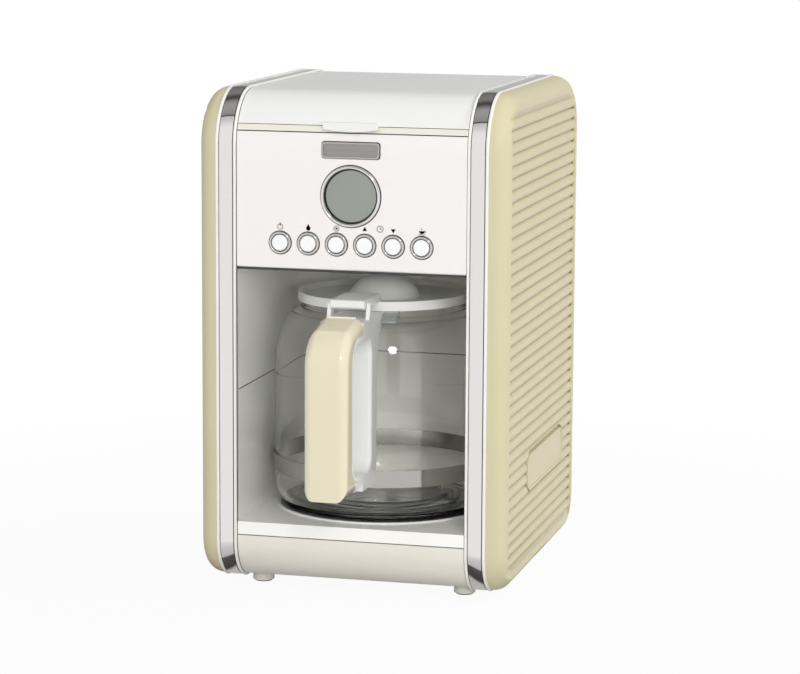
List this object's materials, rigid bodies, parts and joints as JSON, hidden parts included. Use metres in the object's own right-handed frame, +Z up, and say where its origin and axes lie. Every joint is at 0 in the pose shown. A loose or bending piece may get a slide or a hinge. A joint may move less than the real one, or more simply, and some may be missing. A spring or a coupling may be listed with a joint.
{
  "type": "drip coffee maker",
  "caption": "Countertop drip coffee maker with ribbed side panels, bright trim bands, a round display over push buttons, a hinged lid, and a glass carafe on a hot plate in an open bay.",
  "frame": {"origin": "on the table, at the middle of the bounding box, under the axis of the carafe", "axes": "+Z up, -Y front (panel, buttons and carafe handle), +X right seen from the front"},
  "size_m": [0.202, 0.2872, 0.3236],
  "materials": {
    "white_shell": "soft gloss white",
    "cream_gloss": "gloss cream",
    "bright_trim": "polished",
    "satin_panel": "fine satin, pale",
    "badge_dark": "dark grey, bare",
    "display_grey": "grey-green, unlit",
    "button_white": "pale",
    "board": "green laminate",
    "inner_plastic": "natural",
    "hose_rubber": "matte",
    "heater_metal": "cast",
    "steel": "plain",
    "hot_plate_black": "black non-stick",
    "carafe_glass": "clear",
    "clear_plastic": "clear, slightly milky"
  },
  "bodies": {
    "housing": {"badge_frame": "bright_trim", "badge_plate": "badge_dark", "base_screws": "steel", "base_tray": "white_shell", "button_bezels": "bright_trim", "button_switches": "board", "clamp_nut": "steel", "control_board": "board", "control_panel": "satin_panel", "cord_gland": "inner_plastic", "deck": "white_shell", "display_bezel": "bright_trim", "display_lens": "display_grey", "display_module": "board", "feet": "white_shell", "filter_basket": "inner_plastic", "foot_pads": "hose_rubber", "head_front": "white_shell", "heater": "heater_metal", "heater_clamp": "heater_metal", "hot_plate": "hot_plate_black", "hot_plate_ring": "white_shell", "inlet_hose": "hose_rubber", "lid_hinge_pins": "steel", "lower_chassis": "white_shell", "permanent_filter": "inner_plastic", "power_board": "board", "rear_cover": "white_shell", "riser_hose": "hose_rubber", "side_panel_left": "cream_gloss", "side_panel_right": "cream_gloss", "side_plates": "inner_plastic", "tank_valve": "inner_plastic", "thermal_fuses": "heater_metal", "thermostat": "heater_metal", "trim_band_left": "bright_trim", "trim_band_right": "bright_trim", "trim_beads_left": "white_shell", "trim_beads_right": "white_shell", "upper_chassis": "white_shell", "valve_spring": "steel", "water_spout": "inner_plastic", "water_tank": "inner_plastic"},
    "lid": {"top_lid": "white_shell"},
    "button_1": {"button_1": "button_white"},
    "button_2": {"button_2": "button_white"},
    "button_3": {"button_3": "button_white"},
    "button_4": {"button_4": "button_white"},
    "button_5": {"button_5": "button_white"},
    "button_6": {"button_6": "button_white"},
    "drip_valve": {"drip_valve": "inner_plastic", "valve_seal": "hose_rubber"},
    "carafe": {"carafe_glass": "carafe_glass", "carafe_band": "bright_trim", "carafe_collar": "clear_plastic", "carafe_lid": "white_shell", "carafe_lid_pin": "steel", "carafe_handle": "white_shell", "band_screw": "steel", "grip_cover": "cream_gloss"}
  },
  "joints": [
    {"name": "lid_hinge", "type": "hinge", "parent": "housing", "child": "lid", "pos_m": [0, 0.12478, 0.31239], "axis": [-1, 0, 0], "range_deg": [0, 85]},
    {"name": "button_1_press", "type": "slide", "parent": "housing", "child": "button_1", "axis": [0, 1, 0], "range_m": [0, 0.0013], "stiffness_N_per_m": 900, "springref_m": -0.001},
    {"name": "button_2_press", "type": "slide", "parent": "housing", "child": "button_2", "axis": [0, 1, 0], "range_m": [0, 0.0013], "stiffness_N_per_m": 900, "springref_m": -0.001},
    {"name": "button_3_press", "type": "slide", "parent": "housing", "child": "button_3", "axis": [0, 1, 0], "range_m": [0, 0.0013], "stiffness_N_per_m": 900, "springref_m": -0.001},
    {"name": "button_4_press", "type": "slide", "parent": "housing", "child": "button_4", "axis": [0, 1, 0], "range_m": [0, 0.0013], "stiffness_N_per_m": 900, "springref_m": -0.001},
    {"name": "button_5_press", "type": "slide", "parent": "housing", "child": "button_5", "axis": [0, 1, 0], "range_m": [0, 0.0013], "stiffness_N_per_m": 900, "springref_m": -0.001},
    {"name": "button_6_press", "type": "slide", "parent": "housing", "child": "button_6", "axis": [0, 1, 0], "range_m": [0, 0.0013], "stiffness_N_per_m": 900, "springref_m": -0.001},
    {"name": "drip_valve_lift", "type": "slide", "parent": "housing", "child": "drip_valve", "axis": [0, 0, 1], "range_m": [0, 0.004], "stiffness_N_per_m": 120, "springref_m": -0.003, "deforming": ["valve_spring"]},
    {"name": "carafe_slide", "type": "slide", "parent": "housing", "child": "carafe", "axis": [0, -1, 0], "range_m": [0, 0.2]}
  ]
}
